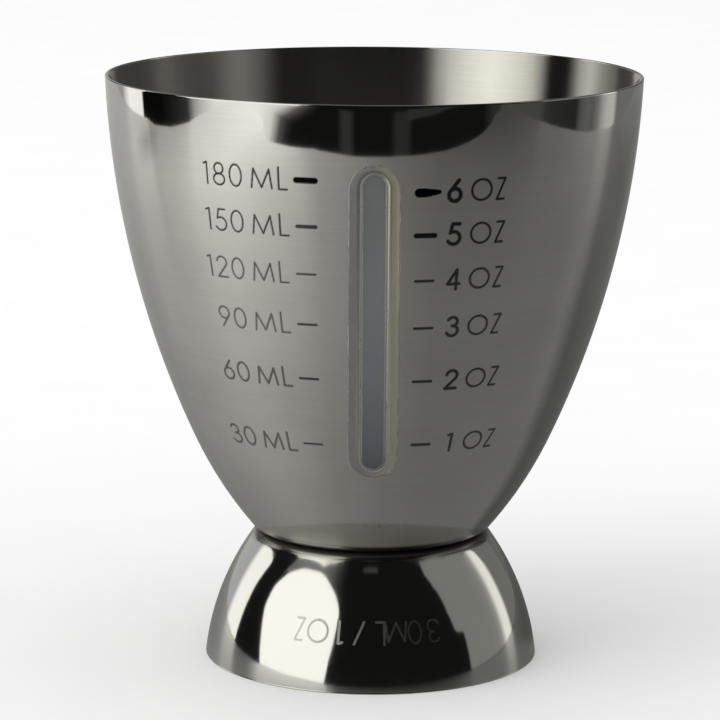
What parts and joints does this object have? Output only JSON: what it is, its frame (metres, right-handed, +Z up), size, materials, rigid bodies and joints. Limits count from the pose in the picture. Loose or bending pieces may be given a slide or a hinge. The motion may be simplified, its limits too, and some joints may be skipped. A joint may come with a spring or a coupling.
{
  "type": "wine measure",
  "caption": "Double-ended steel drinks measure: a tall tulip bowl with a clear upright sight window, joined base to base with a small bowl that is its foot.",
  "frame": {"origin": "on the table, under the axis of the bowls", "axes": "+Z up along the bowls' axis, -Y towards the sight window, +X to the right as the window is faced"},
  "size_m": [0.0806, 0.0807, 0.0891],
  "materials": {
    "satin_steel": "satin, brushed round the bowl, polished near the rim",
    "polished_steel": "mirror polished",
    "weld_steel": "as welded",
    "clear_window": "clear, moulded",
    "clear_sealant": "clear, uneven"
  },
  "bodies": {
    "root": {"upper_cup": "satin_steel", "lower_cup": "polished_steel", "base_welds": "weld_steel", "sight_window": "clear_window", "window_seal": "clear_sealant"}
  },
  "joints": []
}
